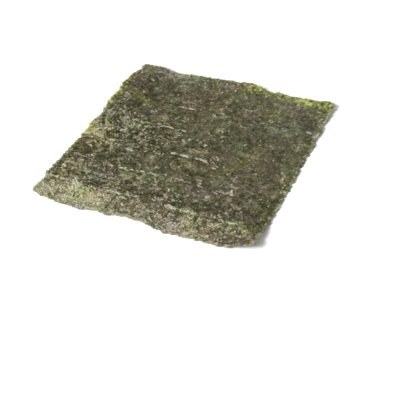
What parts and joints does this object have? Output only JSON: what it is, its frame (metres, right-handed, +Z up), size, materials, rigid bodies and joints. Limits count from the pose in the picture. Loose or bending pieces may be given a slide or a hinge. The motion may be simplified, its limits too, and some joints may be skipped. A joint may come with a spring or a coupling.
{
  "type": "nori sheet",
  "caption": "Thin wavy sheet of pressed, roasted seaweed with a ragged edge, curled corners and faint drying-mat ridges; it lies flat on a table.",
  "frame": {"origin": "centre of the sheet's bounding box, at the height of the surface it lies on", "axes": "+X along the front edge to the right, +Y along the longer side away from the front edge, +Z up"},
  "size_m": [0.1934, 0.2144, 0.0088],
  "materials": {
    "nori": "dry matte felt of dark green and brown flakes with small glossy specks"
  },
  "bodies": {
    "root": {"nori_sheet": "nori"}
  },
  "joints": []
}
